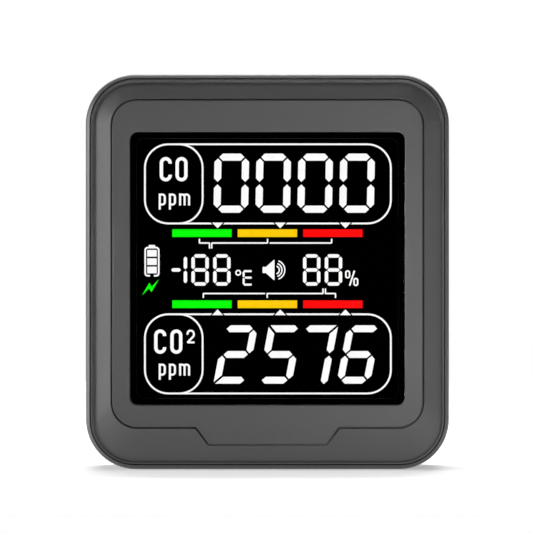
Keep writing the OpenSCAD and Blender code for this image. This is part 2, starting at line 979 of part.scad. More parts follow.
module battery_lead_black() {
    color([0.1, 0.1, 0.1])
        lead(lead_black_x, plug_x + plug_half_pitch, battery_top_z + 3);
}

module usb_section(w, h) {
    rotate([0, 0, 90])
        slot(w, h);
}

module usb_c_shell() {
    shell_t = 0.3;
    color([0.75, 0.75, 0.77])
        translate([usb_in_x, usb_mid_y, usb_z])
            rotate([90, 0, 90])
                difference() {
                    linear_extrude(height = usb_out_x - usb_in_x)
                        usb_section(usb_w, usb_h);
                    translate([0, 0, usb_floor])
                        linear_extrude(height = usb_out_x - usb_in_x)
                            usb_section(usb_w - 2 * shell_t, usb_h - 2 * shell_t);
                }
}

module usb_c_tongue() {
    color([0.1, 0.1, 0.1])
        box(usb_in_x + usb_floor, usb_out_x - 1, usb_mid_y - tongue_t / 2, usb_mid_y + tongue_t / 2,
            usb_z - tongue_w / 2, usb_z + tongue_w / 2);
}

// ---------------------------------------------------------------- nodes

rear_shell();
front_bezel();
face_plate();
display_window();
window_adhesive();
kickstand();
for (i = [0 : 2]) {
    x = (i - 1) * cap_pitch;
    cap(x);
    plunger(x);
}
tact_switches();
case_screws();
board_screws();
dust_filters();
lcd_foam_gasket();
front_polariser();
lcd_front_glass();
lcd_rear_glass();
diffuser_film();
light_guide();
backlight_frame();
backlight_leds();
lcd_pins();
main_board();
board_chips();
co2_sensor_board();
co2_sensor_chamber();
co_sensor_cell();
co_sensor_filter();
climate_sensor();
buzzer();
battery();
battery_tape();
battery_connector();
battery_lead_red();
battery_lead_black();
usb_c_shell();
usb_c_tongue();
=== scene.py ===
"""Looks for the desk air monitor: materials for every CAD node, the lit display, lights and camera.

Lengths are metres, except where the display is drawn: that is done in millimetres from the middle of
the window, and MM turns them into metres. Its depths (y) are metres like the rest.
"""

import json
import math

import bmesh
import bpy
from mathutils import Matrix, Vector


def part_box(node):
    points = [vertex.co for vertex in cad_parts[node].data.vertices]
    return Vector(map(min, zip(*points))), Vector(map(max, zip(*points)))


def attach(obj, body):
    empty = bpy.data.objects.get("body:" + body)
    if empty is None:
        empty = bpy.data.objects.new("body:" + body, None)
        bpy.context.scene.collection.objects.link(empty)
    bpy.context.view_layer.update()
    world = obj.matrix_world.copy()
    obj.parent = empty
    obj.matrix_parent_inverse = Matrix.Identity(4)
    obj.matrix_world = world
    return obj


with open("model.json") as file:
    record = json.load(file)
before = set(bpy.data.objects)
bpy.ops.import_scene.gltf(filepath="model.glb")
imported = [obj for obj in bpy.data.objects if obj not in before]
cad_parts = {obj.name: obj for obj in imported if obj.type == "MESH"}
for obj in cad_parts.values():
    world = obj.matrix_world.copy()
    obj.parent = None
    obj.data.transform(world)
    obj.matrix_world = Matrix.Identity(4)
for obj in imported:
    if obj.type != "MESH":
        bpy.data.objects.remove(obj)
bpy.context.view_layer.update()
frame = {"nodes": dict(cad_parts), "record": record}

MM = 0.001
HOUSING = "housing"
WINDOW_LOW, WINDOW_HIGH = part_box("display_window")
WINDOW_X = (WINDOW_LOW.x + WINDOW_HIGH.x) / 2
WINDOW_Z = (WINDOW_LOW.z + WINDOW_HIGH.z) / 2


# ---------------------------------------------------------------- camera

VIEW_DISTANCE = 1.0      # from the camera to the plane through the object's middle
VIEW_WIDTH = 0.1112      # width of the view where the case's rim is
VIEW_AIM = Vector((-0.00019, 0.0, 0.04238))
SENSOR_MM = 36.0         # width of the camera's sensor, in millimetres
CLIP_START = 0.01


def make_camera():
    data = bpy.data.cameras.new("camera")
    data.sensor_width = SENSOR_MM
    rim_distance = VIEW_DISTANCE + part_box("rear_shell")[0].y
    data.lens = SENSOR_MM * rim_distance / VIEW_WIDTH
    data.clip_start = CLIP_START
    camera = bpy.data.objects.new("camera", data)
    camera.location = VIEW_AIM + Vector((0, -VIEW_DISTANCE, 0))
    camera.rotation_euler = (math.radians(90), 0, 0)
    bpy.context.scene.collection.objects.link(camera)
    bpy.context.scene.camera = camera
    bpy.context.scene.view_settings.view_transform = "Standard"


# ---------------------------------------------------------------- shader helpers

WHITE = (1, 1, 1, 1)
NOISE_LOW, NOISE_HIGH = 0.3, 0.7     # most of a noise's values lie between these
MIX_DARK, MIX_LIGHT = 6, 7           # the Mix node's two colour inputs
MIX_COLOUR = 2                       # and its colour output


class Graph:
    """A material's node tree, with short names for the nodes that the finishes below use."""

    def __init__(self, name):
        self.material = bpy.data.materials.new(name)
        self.material.use_nodes = True
        self.nodes = self.material.node_tree.nodes
        self.links = self.material.node_tree.links
        self.shader = self.nodes["Principled BSDF"]
        self.output = self.nodes["Material Output"]
        self.place = self.nodes.new("ShaderNodeTexCoord").outputs["Object"]

    def feed(self, socket, value):
        """Link another node's output to this input, or set the input's own value."""
        if isinstance(value, bpy.types.NodeSocket):
            self.links.new(value, socket)
        else:
            socket.default_value = value

    def feed_by_name(self, node, inputs):
        for name, value in inputs.items():
            self.feed(node.inputs[name.replace("_", " ")], value)

    def feed_in_order(self, node, values):
        """For a node whose inputs share a name."""
        for socket, value in zip(node.inputs, values):
            self.feed(socket, value)

    def set(self, **inputs):
        self.feed_by_name(self.shader, inputs)

    def node(self, kind, **inputs):
        made = self.nodes.new("ShaderNode" + kind)
        self.feed_by_name(made, inputs)
        return made

    def calculate(self, operation, *values):
        made = self.node("Math")
        made.operation = operation
        self.feed_in_order(made, values)
        return made.outputs[0]

    def noise(self, per_mm, detail=2.0, roughness=0.5, stretch=None):
        place = self.place
        if stretch:
            place = self.node("Mapping", Vector=place, Scale=stretch).outputs["Vector"]
        made = self.node("TexNoise", Vector=place, Scale=per_mm / MM, Detail=detail, Roughness=roughness)
        return made.outputs["Fac"]

    def ramp(self, value, low, high):
        """A noise whose usual range becomes low to high."""
        made = self.node(
            "MapRange", Value=value, From_Min=NOISE_LOW, From_Max=NOISE_HIGH, To_Min=low, To_Max=high)
        return made.outputs["Result"]

    def tint(self, value, dark, light):
        """Two colours mixed by a value from 0 to 1."""
        made = self.node("Mix", Factor=value)
        made.data_type = "RGBA"
        made.inputs[MIX_DARK].default_value = (*dark, 1)
        made.inputs[MIX_LIGHT].default_value = (*light, 1)
        return made.outputs[MIX_COLOUR]

    def vary(self, value, colour, dark, light):
        """A colour that goes from dark times itself to light times itself."""
        return self.tint(value, shade(colour, dark), shade(colour, light))

    def bump(self, height, depth_mm):
        return self.node("Bump", Height=height, Distance=depth_mm * MM).outputs["Normal"]


def shade(colour, amount):
    """The colour times amount, held to white."""
    return tuple(min(1.0, c * amount) for c in colour)


# ---------------------------------------------------------------- finishes

def moulded_plastic(name, colour, roughness=0.5, grain_mm=0.12, depth_mm=0.006):
    """Spark-eroded plastic: a fine pebbled grain, faint mottling and slightly uneven gloss."""
    g = Graph(name)
    cloud = g.noise(per_mm=0.06, detail=3)
    grain = g.noise(per_mm=1 / grain_mm, detail=3, roughness=0.6)
    g.set(
        Base_Color=g.vary(cloud, colour, dark=0.94, light=1.06),
        Roughness=g.ramp(grain, low=roughness - 0.05, high=roughness + 0.05),
        Normal=g.bump(grain, depth_mm),
    )
    return g.material


def smooth_plastic(name, colour, roughness, specular=0.5):
    """Polished or satin plastic with faint flow marks and rubbed patches."""
    g = Graph(name)
    flow = g.noise(per_mm=0.12, detail=3, stretch=(1, 1, 0.35))
    rub = g.noise(per_mm=0.9, detail=4)
    g.set(
        Base_Color=g.vary(flow, colour, dark=0.93, light=1.05),
        Roughness=g.ramp(rub, low=roughness - 0.06, high=roughness + 0.08),
        Normal=g.bump(rub, depth_mm=0.002),
        Specular_IOR_Level=specular,
    )
    return g.material


def soft_foam(name, colour):
    """Open-cell foam or tape: a cellular bump and almost no gloss."""
    cells_per_mm = 5
    g = Graph(name)
    cells = g.node("TexVoronoi", Vector=g.place, Scale=cells_per_mm / MM).outputs["Distance"]
    g.set(
        Base_Color=g.vary(cells, colour, dark=0.7, light=1.2),
        Normal=g.bump(cells, depth_mm=0.03),
        Roughness=0.95,
        Specular_IOR_Level=0.2,
    )
    return g.material


def woven_mesh(name, colour):
    """Filter cloth: crossed threads from two wave patterns."""
    wave_scale = 0.6 / MM
    g = Graph(name)
    threads = []
    for direction in ("X", "Z"):
        wave = g.node("TexWave", Vector=g.place, Scale=wave_scale)
        wave.bands_direction = direction
        threads.append(wave.outputs["Fac"])
    weave = g.calculate("MAXIMUM", *threads)
    g.set(
        Base_Color=g.vary(weave, colour, dark=0.3, light=1.4),
        Normal=g.bump(weave, depth_mm=0.05),
        Roughness=0.8,
    )
    return g.material


def plated_metal(name, colour, roughness, stretch=(1, 1, 1)):
    """Plated or drawn metal: fine brushed scratches and cloudy tone."""
    g = Graph(name)
    scratches = g.noise(per_mm=6.0, detail=4, roughness=0.7, stretch=stretch)
    cloud = g.noise(per_mm=0.4)
    g.set(
        Base_Color=g.vary(cloud, colour, dark=0.88, light=1.06),
        Roughness=g.ramp(scratches, low=roughness - 0.08, high=roughness + 0.12),
        Normal=g.bump(scratches, depth_mm=0.003),
        Metallic=1.0,
    )
    return g.material


def circuit_board(name, mask, copper):
    """Solder mask over traces: lighter lines where copper runs below the mask."""
    pattern_scale = 0.35 / MM
    g = Graph(name)
    upright = g.node("Mapping", Vector=g.place, Rotation=(math.radians(90), 0, 0)).outputs["Vector"]
    bricks = g.node("TexBrick", Vector=upright, Scale=pattern_scale, Mortar_Size=0.03, Mortar_Smooth=0.4)
    traces = bricks.outputs["Fac"]
    g.set(
        Base_Color=g.tint(traces, mask, copper),
        Roughness=g.ramp(g.noise(per_mm=0.5), low=0.25, high=0.4),
        Normal=g.bump(traces, depth_mm=0.02),
    )
    return g.material


def display_window(name):
    """Clear pane: straight through, with a smooth reflection that grows at grazing angles.

    The reflection depends on the angle alone, so the pane's back face behaves as its front does.
    """
    passed = 0.94        # share of the light that each face lets through
    head_on = 0.023      # reflected share when seen straight on
    steepness = 5        # power of its rise towards the view along the pane
    g = Graph(name)
    g.nodes.remove(g.shader)
    smear = g.noise(per_mm=0.25, detail=3)
    clear = g.node("BsdfTransparent", Color=(passed, passed, passed, 1))
    gloss = g.node("BsdfGlossy", Color=WHITE, Roughness=g.ramp(smear, low=0.015, high=0.03))
    tilt = g.node("LayerWeight", Blend=0.5).outputs["Facing"]
    rise = g.calculate("POWER", tilt, steepness)
    reflected = g.calculate("MULTIPLY_ADD", rise, 1 - head_on, head_on)
    mix = g.node("MixShader")
    g.feed_in_order(mix, (reflected, clear.outputs[0], gloss.outputs[0]))
    g.links.new(mix.outputs[0], g.output.inputs["Surface"])
    return g.material


def lit_segment(name, colour):
    """A lit display segment: the backlight is faintly uneven behind it."""
    g = Graph(name)
    uneven = g.ramp(g.noise(per_mm=0.35), low=0, high=1)
    g.set(
        Emission_Color=g.vary(uneven, colour, dark=0.94, light=1),
        Emission_Strength=1.15,
        Base_Color=(*shade(colour, 0.05), 1),
        Roughness=0.6,
        Specular_IOR_Level=0.1,
    )
    return g.material


def pale_floor():
    """White paper that glows a little, which keeps the shadow under the case pale."""
    g = Graph("stage_floor")
    soft = g.noise(per_mm=0.01)
    g.set(
        Base_Color=g.tint(soft, dark=(0.86, 0.86, 0.86), light=(0.88, 0.88, 0.88)),
        Roughness=0.9,
        Specular_IOR_Level=0.1,
        Emission_Color=WHITE,
        Emission_Strength=0.35,
    )
    return g.material


CASE_GREY = (0.075, 0.075, 0.076)
INK_BLACK = (0.0003, 0.0003, 0.0003)     # of the ink, adhesive and polariser behind the pane
SWITCH_BLACK = (0.02, 0.02, 0.02)
LEAD_BLACK = (0.015, 0.015, 0.015)

FINISHES = (
    ("rear_plastic", moulded_plastic, dict(colour=CASE_GREY)),
    ("bezel_plastic", moulded_plastic, dict(colour=CASE_GREY)),
    ("face_plastic", moulded_plastic, dict(colour=CASE_GREY, roughness=0.55)),
    ("kickstand_plastic", moulded_plastic, dict(colour=shade(CASE_GREY, 0.95))),
    ("button_plastic", moulded_plastic,
     dict(colour=shade(CASE_GREY, 0.8), roughness=0.42, grain_mm=0.08, depth_mm=0.003)),
    ("plunger_plastic", smooth_plastic, dict(colour=(0.7, 0.7, 0.66), roughness=0.4)),
    ("window_acrylic", display_window, {}),
    ("black_adhesive", smooth_plastic, dict(colour=INK_BLACK, roughness=0.8, specular=0.0)),
    ("filter_mesh", woven_mesh, dict(colour=(0.03, 0.03, 0.03))),
    ("switch_body", smooth_plastic, dict(colour=SWITCH_BLACK, roughness=0.4)),
    ("screw_steel", plated_metal, dict(colour=(0.55, 0.55, 0.56), roughness=0.32)),
    ("foam", soft_foam, dict(colour=(0.002, 0.002, 0.002))),
    ("polariser", smooth_plastic, dict(colour=INK_BLACK, roughness=0.5, specular=0.0)),
    ("lcd_glass", smooth_plastic, dict(colour=(0.01, 0.012, 0.014), roughness=0.12)),
    ("diffuser", smooth_plastic, dict(colour=(0.85, 0.85, 0.86), roughness=0.5)),
    ("clear_acrylic", smooth_plastic, dict(colour=(0.75, 0.82, 0.85), roughness=0.1)),
    ("white_plastic", moulded_plastic, dict(colour=(0.8, 0.8, 0.78))),
    ("led_package", smooth_plastic, dict(colour=(0.85, 0.75, 0.3), roughness=0.25)),
    ("tinned_pins", plated_metal, dict(colour=(0.72, 0.72, 0.72), roughness=0.3)),
    ("circuit_board", circuit_board, dict(mask=(0.01, 0.09, 0.035), copper=(0.03, 0.2, 0.08))),
    ("sensor_board", circuit_board, dict(mask=(0.01, 0.03, 0.12), copper=(0.03, 0.08, 0.25))),
    ("chip_epoxy", moulded_plastic,
     dict(colour=(0.02, 0.02, 0.022), roughness=0.6, grain_mm=0.06, depth_mm=0.003)),
    ("gold_chamber", plated_metal, dict(colour=(0.85, 0.6, 0.25), roughness=0.25)),
    ("sensor_cell_plastic", moulded_plastic, dict(colour=(0.7, 0.7, 0.67))),
    ("sensor_filter", soft_foam, dict(colour=(0.75, 0.75, 0.75))),
    ("buzzer_plastic", smooth_plastic, dict(colour=SWITCH_BLACK, roughness=0.45)),
    ("battery_foil", plated_metal, dict(colour=(0.62, 0.63, 0.65), roughness=0.35)),
    ("battery_tape", soft_foam, dict(colour=(0.75, 0.75, 0.7))),
    ("lead_red", smooth_plastic, dict(colour=(0.5, 0.015, 0.015), roughness=0.4)),
    ("lead_black", smooth_plastic, dict(colour=LEAD_BLACK, roughness=0.4)),
    ("socket_steel", plated_metal, dict(colour=(0.6, 0.6, 0.62), roughness=0.28, stretch=(1, 1, 0.2))),
    ("socket_plastic", smooth_plastic, dict(colour=LEAD_BLACK, roughness=0.4)),
    ("display_white", lit_segment, dict(colour=(1.0, 1.0, 1.0))),
    ("display_green", lit_segment, dict(colour=(0.0, 1.0, 0.0))),
    ("display_yellow", lit_segment, dict(colour=(1.0, 0.615, 0.0))),
    ("display_red", lit_segment, dict(colour=(1.0, 0.0, 0.0))),
)


def make_finishes():
    """Every slot's material, by the slot's name."""
    return {slot: make(slot, **look) for slot, make, look in FINISHES}


def dress_cad_nodes(finishes):
    for row in frame["record"]["subparts"]:
        data = frame["nodes"][row["node"]].data
        data.materials.clear()
        data.materials.append(finishes[row["material_slot"]])


# ---------------------------------------------------------------- flat shapes

CORNER_STEPS = 10        # straight runs in a rounded corner
ARC_STEPS = 24           # and in an arc
SHARPEST_MITRE = 0.3     # cosine of half a corner's turn, below which its mitre grows no longer
ROUND_SLACK = 0.001      # how much smaller than a half circle's its two corners' radii are, in a line
END_SLACK = 0.01         # and in a small rounded shape
DISPLAY_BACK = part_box("front_polariser")[0].y
PRINT_THICK = 0.03 * MM


def left_of(along):
    """The direction a quarter turn to the left of this one."""
    return Vector((-along.y, along.x))


def rounded_path(corners, closed=False):
    """Points along straight runs whose corners (x, z, radius) are rounded by arcs."""
    points = []
    count = len(corners)
    for i, (x, z, *rest) in enumerate(corners):
        radius = rest[0] if rest else 0
        here = Vector((x, z))
        if not radius or (not closed and i in (0, count - 1)):
            points.append(here)
            continue
        before = (Vector(corners[i - 1][:2]) - here).normalized()
        after = (Vector(corners[(i + 1) % count][:2]) - here).normalized()
        half = before.angle(after) / 2
        reach = radius / math.tan(half)
        centre = here + (before + after).normalized() * (radius / math.sin(half))
        start = here + before * reach - centre
        turn = (here + after * reach - centre).angle_signed(start)
        for step in range(CORNER_STEPS + 1):
            a = turn * step / CORNER_STEPS
            points.append(centre + Vector((
                start.x * math.cos(a) - start.y * math.sin(a),
                start.x * math.sin(a) + start.y * math.cos(a))))
    return points


def arc_path(x, z, radius, start_deg, end_deg):
    points = []
    for step in range(ARC_STEPS + 1):
        a = math.radians(start_deg + (end_deg - start_deg) * step / ARC_STEPS)
        points.append(Vector((x + radius * math.cos(a), z + radius * math.sin(a))))
    return points


def rectangle(x0, x1, z0, z1, radius=0.0):
    corners = [(x0, z0, radius), (x1, z0, radius), (x1, z1, radius), (x0, z1, radius)]
    return rounded_path(corners, closed=True)


class FlatPiece:
    """One piece of the display: thin solids in one plane, drawn in millimetres."""

    def __init__(self, name, slot, back=DISPLAY_BACK):
        self.name = name
        self.slot = slot
        self.back = back
        self.front = back - PRINT_THICK
        self.mesh = bmesh.new()

    def vertex(self, point, y):
        return self.mesh.verts.new((WINDOW_X + point[0] * MM, y, WINDOW_Z + point[1] * MM))

    def fill(self, outline):
        """A solid with this outline."""
        front = [self.vertex(p, self.front) for p in outline]
        back = [self.vertex(p, self.back) for p in outline]
        self.mesh.faces.new(front)
        self.mesh.faces.new(back[::-1])
        for i in range(len(outline)):
            j = (i + 1) % len(outline)
            self.mesh.faces.new((front[i], back[i], back[j], front[j]))

    def line(self, path, width, closed=False):
        """A solid of even width along a path, with mitred corners."""
        sides = ([], [])
        count = len(path)
        for i, here in enumerate(path):
            runs = []
            if closed or i > 0:
                runs.append((here - path[i - 1]).normalized())
            if closed or i < count - 1:
                runs.append((path[(i + 1) % count] - here).normalized())
            across = left_of(sum(runs, Vector((0, 0))).normalized())
            mitre = 1 / max(SHARPEST_MITRE, across.dot(left_of(runs[0])))
            for side, sign in zip(sides, (1, -1)):
                side.append(here + across * (sign * mitre * width / 2))
        left, right, left_back, right_back = [
            [self.vertex(p, y) for p in side] for y in (self.front, self.back) for side in sides
        ]
        for i in range(count if closed else count - 1):
            j = (i + 1) % count
            self.mesh.faces.new((left[i], right[i], right[j], left[j]))
            self.mesh.faces.new((left_back[i], left_back[j], right_back[j], right_back[i]))
            self.mesh.faces.new((left[i], left[j], left_back[j], left_back[i]))
            self.mesh.faces.new((right[i], right_back[i], right_back[j], right[j]))
        if not closed:
            self.mesh.faces.new((left[0], left_back[0], right_back[0], right[0]))
            self.mesh.faces.new((left[-1], right[-1], right_back[-1], left_back[-1]))

    def finish(self, finishes):
        bmesh.ops.recalc_face_normals(self.mesh, faces=self.mesh.faces)
        data = bpy.data.meshes.new(self.name)
        self.mesh.to_mesh(data)
        self.mesh.free()
        data.materials.append(finishes[self.slot])
        piece = bpy.data.objects.new(self.name, data)
        bpy.context.scene.collection.objects.link(piece)
        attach(piece, HOUSING)


# ---------------------------------------------------------------- numerals

LIT = {  # the lit segments of each sign
    "0": "abcdef", "1": "bc", "2": "abged", "5": "afgcd", "6": "afgedc", "7": "abc", "8": "abcdefg",
    "-": "g",
}
ENDS = {  # each segment's two ends, in halves of the digit's width and height from its middle
    "a": ((-1, 1), (1, 1)), "b": ((1, 1), (1, 0)), "c": ((1, 0), (1, -1)), "d": ((-1, -1), (1, -1)),
    "e": ((-1, 0), (-1, -1)), "f": ((-1, 1), (-1, 0)), "g": ((-1, 0), (1, 0)),
}
SHARP_EXTRA = 0.07       # how much further back an end lies where it is cut along the diagonal

UPPER_DIGITS = dict(half_w=2.88, half_h=5.44, stroke=1.48, gap=0.27, slant=0.019)
LOWER_DIGITS = dict(half_w=2.79, half_h=5.38, stroke=1.43, gap=0.27, slant=0.19)
SMALL_DIGITS = dict(half_w=1.46, half_h=2.93, stroke=0.72, gap=0.13, blunt=0.13)


def segment(half_w, half_h, stroke, gap, ends, sharp, reach):
    """Outline of one segment between two corners of its digit, pointed at both ends.

    At a corner listed in sharp, the end is cut along the diagonal instead, out to the digit's own
    corner. reach is how much further out each of the two ends goes.
    """
    start, end = [Vector((x * half_w, z * half_h)) for x, z in ends]
    along = (end - start).normalized()
    half = stroke / 2
    outline = []
    for node, corner, inward, further in zip((start, end), ends, (along, -along), reach):
        side = left_of(inward)
        if corner in sharp:
            outward = 1 if side.dot(Vector(corner)) > 0 else -1
            for s in (-1, 1):
                back = gap + SHARP_EXTRA - outward * half * s
                outline.append(node + inward * back + side * (s * half))
        else:
            tip = gap - further
            outline.append(node + inward * (tip + half) - side * half)
            outline.append(node + inward * tip)
            outline.append(node + inward * (tip + half) + side * half)
    return outline


def digit(piece, sign, x, z, half_w, half_h, stroke, gap, slant=0.0, blunt=0.0, sharp=(), reach=None):
    """A seven-segment sign with its middle at x, z.

    slant is how far it leans to the right per unit of height, and blunt rounds the corners of its
    segments. reach holds, by segment, how much further out the two ends go where no neighbour is lit.
    """
    for name in LIT[sign]:
        further = (reach or {}).get(name, (0, 0))
        outline = segment(half_w, half_h, stroke, gap, ENDS[name], sharp, further)
        corners = [(x + p.x + slant * p.y, z + p.y, blunt) for p in outline]
        piece.fill(rounded_path(corners, closed=True))


# ---------------------------------------------------------------- frames, pointers and bars

PANEL_X = 0.1            # middle of the two framed readings
UPPER_Z = 17.7           # and their heights
LOWER_Z = -17.83
PANEL_W = 51.4
PANEL_H = 16.55
PANEL_R = 4.9
PANEL_LINE = 0.37
BADGE_RIGHT = -13.54     # right side of the gas's own field in each frame

POINTER_X = (-10.41, 2.68, 16.3)
POINTER_HALF = 1.15      # half of a pointer's width
POINTER_H = 1.18
POINTER_GAP = 0.35       # between a pointer's corner and the frame's line

BAR_COLOURS = ("green", "yellow", "red")
BAR_LEFT = -19.88
BAR_W = 12.4
BAR_PITCH = 13.68
BAR_H = 1.61
UPPER_BAR_Z = 7.4
LOWER_BAR_Z = -7.46

BRACKET_LINE = 0.3
BRACKET_R = 0.12


def panel(finishes, name, z, sign):
    """The frame round one reading, and its pointers.

    sign is 1 above the window's middle, where the pointers hang from the lower line, and -1 below it,
    where they stand on the upper line.
    """
    piece = FlatPiece(name + "_frame", "display_white")
    x0, x1 = PANEL_X - PANEL_W / 2, PANEL_X + PANEL_W / 2
    near, far = z - sign * PANEL_H / 2, z + sign * PANEL_H / 2
    stops = [p + s * (POINTER_HALF + POINTER_GAP) for p in POINTER_X for s in (-1, 1)]
    piece.line(rounded_path([
        (stops[0], near), (x0, near, PANEL_R), (x0, far, PANEL_R),
        (x1, far, PANEL_R), (x1, near, PANEL_R), (stops[-1], near),
    ]), PANEL_LINE)
    for a, b in ((stops[1], stops[2]), (stops[3], stops[4])):
        piece.line([Vector((a, near)), Vector((b, near))], PANEL_LINE)
    inner, outer = near + sign * PANEL_LINE / 2, near - sign * PANEL_LINE / 2
    slant = PANEL_LINE * POINTER_HALF / POINTER_H
    for i, x in enumerate(stops):      # each end beside a pointer is cut along the pointer's side
        tip = x + slant * (1 if i % 2 == 0 else -1)
        piece.fill([Vector((x, inner)), Vector((x, outer)), Vector((tip, outer))])
    piece.line(rounded_path([
        (BADGE_RIGHT - PANEL_R, near), (BADGE_RIGHT, near, PANEL_R),
        (BADGE_RIGHT, far, PANEL_R), (BADGE_RIGHT - PANEL_R, far),
    ]), PANEL_LINE)
    piece.finish(finishes)
    pointers(finishes, name, inner, sign)


def pointers(finishes, name, base, sign):
    """Three triangles that point from the frame's line at the level bars."""
    piece = FlatPiece(name + "_pointers", "display_white")
    for x in POINTER_X:
        piece.fill([
            Vector((x - POINTER_HALF, base)),
            Vector((x + POINTER_HALF, base)),
            Vector((x, base - sign * POINTER_H)),
        ])
    piece.finish(finishes)


def level_bars(finishes, name, z):
    for i, colour in enumerate(BAR_COLOURS):
        x = BAR_LEFT + i * BAR_PITCH
        piece = FlatPiece(f"{name}_bar_{colour}", "display_" + colour)
        piece.fill(rectangle(x, x + BAR_W, z - BAR_H / 2, z + BAR_H / 2))
        piece.finish(finishes)


def bracket_row(finishes, name, paths):
    piece = FlatPiece(name, "display_white")
    for path in paths:
        piece.line(rounded_path(path), BRACKET_LINE)
    piece.finish(finishes)


def brackets(finishes):
    """Thin lines that tie each small reading to the level bars above and below it."""
    r = BRACKET_R
    z, up, down = 5.34, 6.22, 4.19       # height of the level stretches, and of the ends above and below
    bracket_row(finishes, "upper_brackets", (
        [(-14.21, up), (-14.21, z, r), (-12.1, z, r), (-12.1, down)],
        [(-11.63, down), (-11.63, z, r), (0.03, z, r), (0.03, up)],
        [(0.48, z), (13.42, z, r), (13.42, up)],
    ))
    z, up, down = -5.22, -4.16, -6.13
    bracket_row(finishes, "lower_brackets", (
        [(-13.4, down), (-13.4, z, r), (-0.49, z)],
        [(-0.05, down), (-0.05, z, r), (11.62, z, r), (11.62, up)],
        [(12.12, up), (12.12, z, r), (14.23, z, r), (14.23, down)],
    ))


# ---------------------------------------------------------------- readings

UPPER_DIGIT_X = -7.54    # middle of the first of four
UPPER_DIGIT_PITCH = 8.76
UPPER_DIGIT_Z = 17.85
LOWER_DIGIT_Z = -17.96
LOWER_READING = (        # sign, middle, corners cut along the diagonal, reach of the free ends
    ("2", -6.62, [(-1, -1)], {"a": (0.39, 0), "d": (0, 0.26)}),
    ("5", 2.68, [(-1, 1)], {"a": (0, 0.14), "d": (0.32, 0)}),
    ("7", 10.13, [(1, 1)], {"a": (0.53, 0), "c": (0, 1.06)}),
    ("6", 19.09, [], {"a": (0, 0.28)}),
)
SMALL_DIGIT_Z = -0.29
TEMPERATURE_X = (-14.07, -9.52)
TEMPERATURE_ONE_X = -17.14
MINUS_X = -19.1
MINUS_HALF = 1.18
HUMIDITY_X = (9.26, 13.81)


def readings(finishes):
    upper = FlatPiece("carbon_monoxide_digits", "display_white")
    for i in range(4):
        digit(upper, "0", UPPER_DIGIT_X + UPPER_DIGIT_PITCH * i, UPPER_DIGIT_Z, **UPPER_DIGITS)
    upper.finish(finishes)

    lower = FlatPiece("carbon_dioxide_digits", "display_white")
    for sign, x, sharp, reach in LOWER_READING:
        digit(lower, sign, x, LOWER_DIGIT_Z, **LOWER_DIGITS, sharp=sharp, reach=reach)
    lower.finish(finishes)

    warm = FlatPiece("temperature_digits", "display_white")
    for x in TEMPERATURE_X:
        digit(warm, "8", x, SMALL_DIGIT_Z, **SMALL_DIGITS)
    digit(warm, "1", TEMPERATURE_ONE_X - SMALL_DIGITS["half_w"], SMALL_DIGIT_Z, **SMALL_DIGITS)
    digit(warm, "-", MINUS_X, SMALL_DIGIT_Z, **{**SMALL_DIGITS, "half_w": MINUS_HALF})
    warm.finish(finishes)

    damp = FlatPiece("humidity_digits", "display_white")
    for x in HUMIDITY_X:
        digit(damp, "8", x, SMALL_DIGIT_Z, **SMALL_DIGITS)
    damp.finish(finishes)


# ---------------------------------------------------------------- labels and units

GAS_W = 1.82             # a gas letter's width and height, between the middles of its lines
GAS_H = 4.38
GAS_R = GAS_W / 2 - ROUND_SLACK
GAS_END = 1.02           # how far C's ends come back from the top and bottom
GAS_LINE = 0.7
UNIT_LABEL_X = -22.5
UNIT_LINE = 0.43


def gas_letters(piece, x, z, gap):
    """The letters C and O, as open and closed stadium lines.

    x and z are the middles of the C's left and top lines.
    """
    low = z - GAS_H
    right = x + GAS_W
    piece.line(rounded_path([
        (right, z - GAS_END), (right, z, GAS_R), (x, z, GAS_R),
        (x, low, GAS_R), (right, low, GAS_R), (right, low + GAS_END),
    ]), GAS_LINE)
    left = right + gap
    piece.line(rectangle(left, left + GAS_W, low, z, GAS_R), GAS_LINE, closed=True)


def small_two(piece, x, z):
    """The raised 2 of the lower gas, with its top left corner at x, z."""
    w, h, line = 1.32, 2.46, 0.41
    r = w / 2 - ROUND_SLACK
    start_drop, bend_drop, bend_r = 0.85, 1.1, 0.5
    foot_in, foot_r, foot_out = 0.02, 0.05, 0.15
    right, foot = x + w, z - h
    piece.line(rounded_path([
        (x, z - start_drop), (x, z, r), (right, z, r),
        (right, z - bend_drop, bend_r), (x + foot_in, foot, foot_r), (right + foot_out, foot),
    ]), line)


def unit_letters(piece, x, z):
    """The letters ppm. x is the first stem's middle and z the top of the low letters."""
    bowl, low_h, tail, r = 1.05, 2.5, 0.85, 0.5
    p_pitch, m_left, arch = 2.12, 4.25, 0.94
    foot = z - low_h
    top, base = z - UNIT_LINE / 2, foot + UNIT_LINE / 2
    for left in (x, x + p_pitch):
        piece.line([Vector((left, z)), Vector((left, foot - tail))], UNIT_LINE)
        piece.line(rounded_path([
            (left, top), (left + bowl, top, r), (left + bowl, base, r), (left, base),
        ]), UNIT_LINE)
    left = x + m_left
    piece.line([Vector((left, z)), Vector((left, foot))], UNIT_LINE)
    for i in range(2):
        start = left + i * arch
        piece.line(rounded_path([
            (start, top), (start + arch, top, r), (start + arch, foot),
        ]), UNIT_LINE)


def labels(finishes):
    upper = FlatPiece("carbon_monoxide_label", "display_white")
    gas_letters(upper, x=-22.16, z=22.96, gap=1.48)
    upper.finish(finishes)
    lower = FlatPiece("carbon_dioxide_label", "display_white")
    gas_letters(lower, x=-23.32, z=-13.08, gap=1.56)
    small_two(lower, x=-16.7, z=-12.97)
    lower.finish(finishes)
    for name, z in (("upper_unit_label", 15.68), ("lower_unit_label", -19.88)):
        piece = FlatPiece(name, "display_white")
        unit_letters(piece, UNIT_LABEL_X, z)
        piece.finish(finishes)


